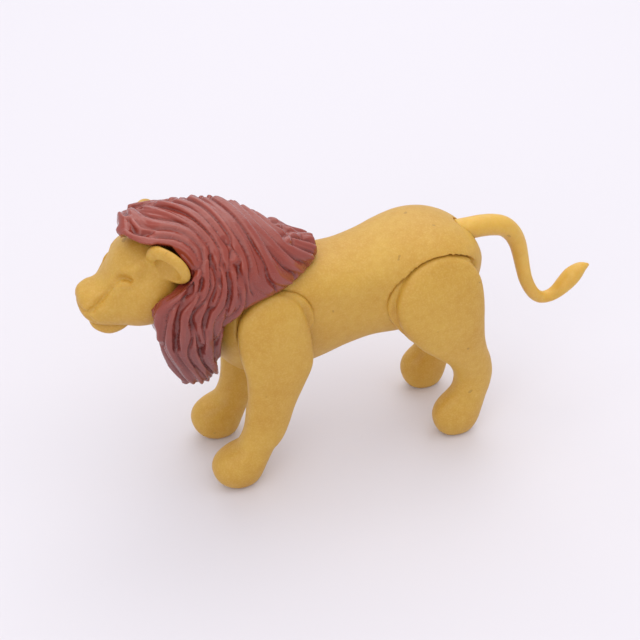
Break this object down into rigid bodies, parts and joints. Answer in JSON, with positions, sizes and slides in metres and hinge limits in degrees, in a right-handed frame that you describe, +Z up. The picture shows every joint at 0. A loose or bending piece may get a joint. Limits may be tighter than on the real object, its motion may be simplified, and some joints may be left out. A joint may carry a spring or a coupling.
{
  "type": "toy wild animal figure",
  "caption": "Standing moulded plastic toy lion with swinging paired legs, a nodding head with a soft lock-textured mane, and a turning S-shaped tail.",
  "frame": {"origin": "middle of the lion's footprint box, on the ground under its paws", "axes": "+X towards the lion's left side, +Y towards its tail (it faces -Y), +Z up"},
  "size_m": [0.029, 0.1146, 0.0657],
  "materials": {
    "ochre_yellow_plastic": "satin-matt moulded, faintly mottled",
    "tail_yellow_plastic": "soft sheen, slightly translucent",
    "red_brown_soft_plastic": "soft semi-gloss with moulded hair locks",
    "inner_grey_plastic": "plain moulded"
  },
  "bodies": {
    "torso": {"torso_shell": "ochre_yellow_plastic", "belly_plate": "ochre_yellow_plastic", "neck_pin": "inner_grey_plastic"},
    "front_legs": {"front_left_leg": "ochre_yellow_plastic", "front_right_leg": "ochre_yellow_plastic", "front_axle": "inner_grey_plastic"},
    "rear_legs": {"rear_left_leg": "ochre_yellow_plastic", "rear_right_leg": "ochre_yellow_plastic", "rear_axle": "inner_grey_plastic"},
    "tail": {"tail": "tail_yellow_plastic"},
    "head": {"neck": "ochre_yellow_plastic", "head": "ochre_yellow_plastic", "jaw": "ochre_yellow_plastic", "mane": "red_brown_soft_plastic"}
  },
  "joints": [
    {"name": "head_nod", "type": "hinge", "parent": "torso", "child": "head", "pos_m": [0, -0.02905, 0.042], "axis": [1, 0, 0], "range_deg": [0, 10]},
    {"name": "front_legs_swing", "type": "hinge", "parent": "torso", "child": "front_legs", "pos_m": [0, -0.02075, 0.0394], "axis": [1, 0, 0], "range_deg": [-20, 25]},
    {"name": "rear_legs_swing", "type": "hinge", "parent": "torso", "child": "rear_legs", "pos_m": [0, 0.01495, 0.0375], "axis": [1, 0, 0], "range_deg": [-25, 20]},
    {"name": "tail_turn", "type": "hinge", "parent": "torso", "child": "tail", "pos_m": [0, 0.02825, 0.0477], "axis": [0, 1, 0], "range_deg": [-45, 45]}
  ]
}
